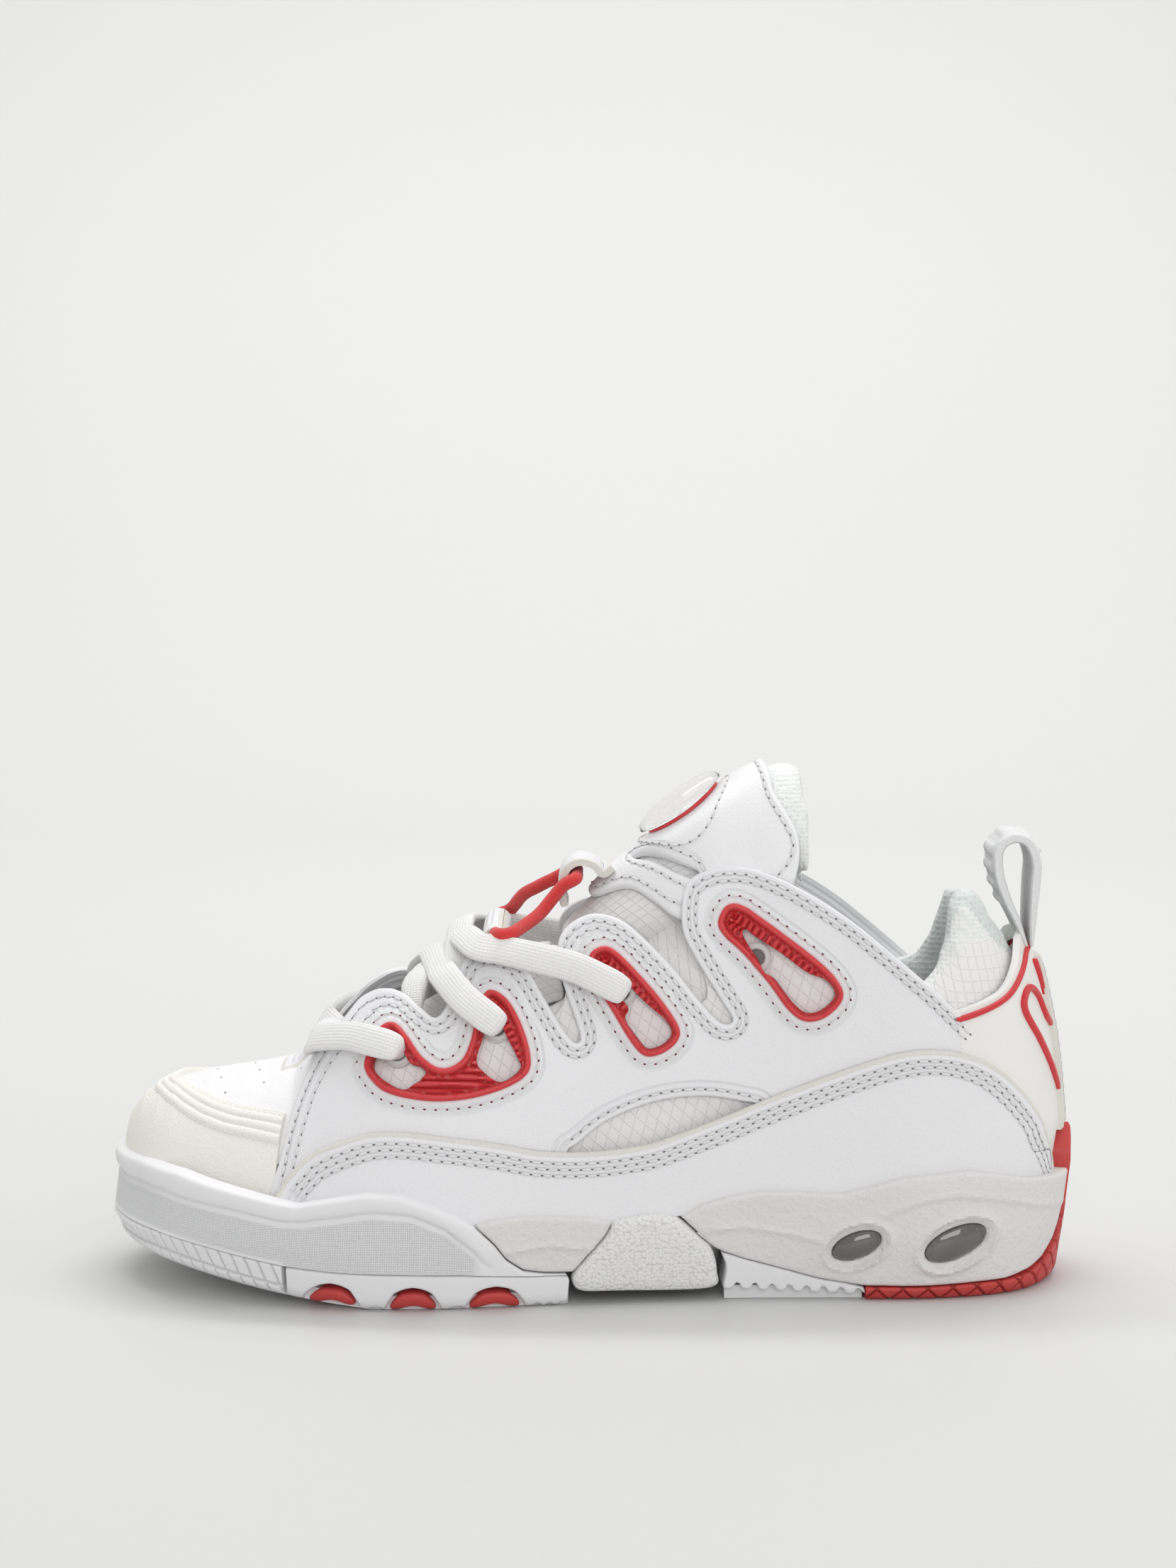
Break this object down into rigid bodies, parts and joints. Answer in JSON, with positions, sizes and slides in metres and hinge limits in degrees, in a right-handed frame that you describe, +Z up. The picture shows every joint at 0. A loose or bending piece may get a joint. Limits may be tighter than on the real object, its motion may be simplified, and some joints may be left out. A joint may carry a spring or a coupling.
{
  "type": "skate shoe",
  "caption": "Left lace-up skate shoe with a treaded cup sole, layered leather upper, moulded lace cages, padded tongue and heel pull loop.",
  "frame": {"origin": "centre of the shoe's bounding box, on the ground it stands on", "axes": "+X from toe to heel, +Y towards the inner (medial) side, +Z up"},
  "size_m": [0.3044, 0.1102, 0.1623],
  "materials": {
    "white_leather": "fine-grained cool white leather",
    "warm_leather": "tumbled warm off-white leather",
    "mesh": "pale grey-green padded mesh",
    "foam": "moulded foam skin",
    "rubber": "white moulded rubber",
    "red_rubber": "red moulded rubber",
    "red_tpu": "red injection-moulded urethane, satin gloss",
    "eyelet_plastic": "pale grey moulded ring",
    "red_elastic": "red braided elastic",
    "lace": "flat braided off-white lace",
    "smoke_window": "smoked clear urethane window",
    "clear": "clear urethane"
  },
  "bodies": {
    "shoe": {"vamp": "white_leather", "quarter_lateral": "white_leather", "quarter_medial": "white_leather", "mudguard_lateral": "white_leather", "mudguard_medial": "white_leather", "shank_wrap": "white_leather", "keeper_front": "white_leather", "keeper_middle": "white_leather", "toe_cap": "warm_leather", "heel_counter": "warm_leather", "lining_toe": "mesh", "lining_lateral": "mesh", "lining_medial": "mesh", "lining_heel": "mesh", "collar_pad": "mesh", "tongue_base": "mesh", "sockliner": "mesh", "midsole_foam": "foam", "insole_board": "foam", "toe_bumper": "rubber", "cupsole_sidewall": "rubber", "outsole_forefoot": "rubber", "outsole_rear": "rubber", "heel_outsole": "red_rubber", "traction_pod_lateral_1": "red_rubber", "traction_pod_lateral_2": "red_rubber", "traction_pod_lateral_3": "red_rubber", "traction_pod_medial_1": "red_rubber", "traction_pod_medial_2": "red_rubber", "traction_pod_medial_3": "red_rubber", "cage_front_lateral": "red_tpu", "cage_front_medial": "red_tpu", "cage_middle_lateral": "red_tpu", "cage_middle_medial": "red_tpu", "cage_rear_lateral": "red_tpu", "cage_rear_medial": "red_tpu", "heel_trim": "red_tpu", "eyelet_lateral_1": "eyelet_plastic", "eyelet_lateral_2": "eyelet_plastic", "eyelet_lateral_3": "eyelet_plastic", "eyelet_lateral_4": "eyelet_plastic", "eyelet_medial_1": "eyelet_plastic", "eyelet_medial_2": "eyelet_plastic", "eyelet_medial_3": "eyelet_plastic", "eyelet_medial_4": "eyelet_plastic", "elastic_loop": "red_elastic", "shoelace": "lace", "gel_window_lateral_front": "smoke_window", "gel_window_lateral_rear": "smoke_window", "gel_window_medial_front": "smoke_window", "gel_window_medial_rear": "smoke_window", "gel_cell_front": "clear", "gel_cell_rear": "clear"},
    "tongue": {"tongue_pad": "mesh", "tongue_overlay": "white_leather", "tongue_badge": "red_tpu", "tongue_lens": "clear", "tongue_keeper": "white_leather"},
    "pull": {"pull_loop": "white_leather"}
  },
  "joints": [
    {"name": "tongue_fold", "type": "hinge", "parent": "shoe", "child": "tongue", "pos_m": [-0.01325, 0.00035, 0.101], "axis": [0, -1, 0], "range_deg": [0, 30], "deforming": ["elastic_loop"]},
    {"name": "pull_loop_flex", "type": "hinge", "parent": "shoe", "child": "pull", "pos_m": [0.13775, 0.00035, 0.1035], "axis": [0, 1, 0], "range_deg": [0, 35], "stiffness_Nm_per_rad": 0.02}
  ]
}
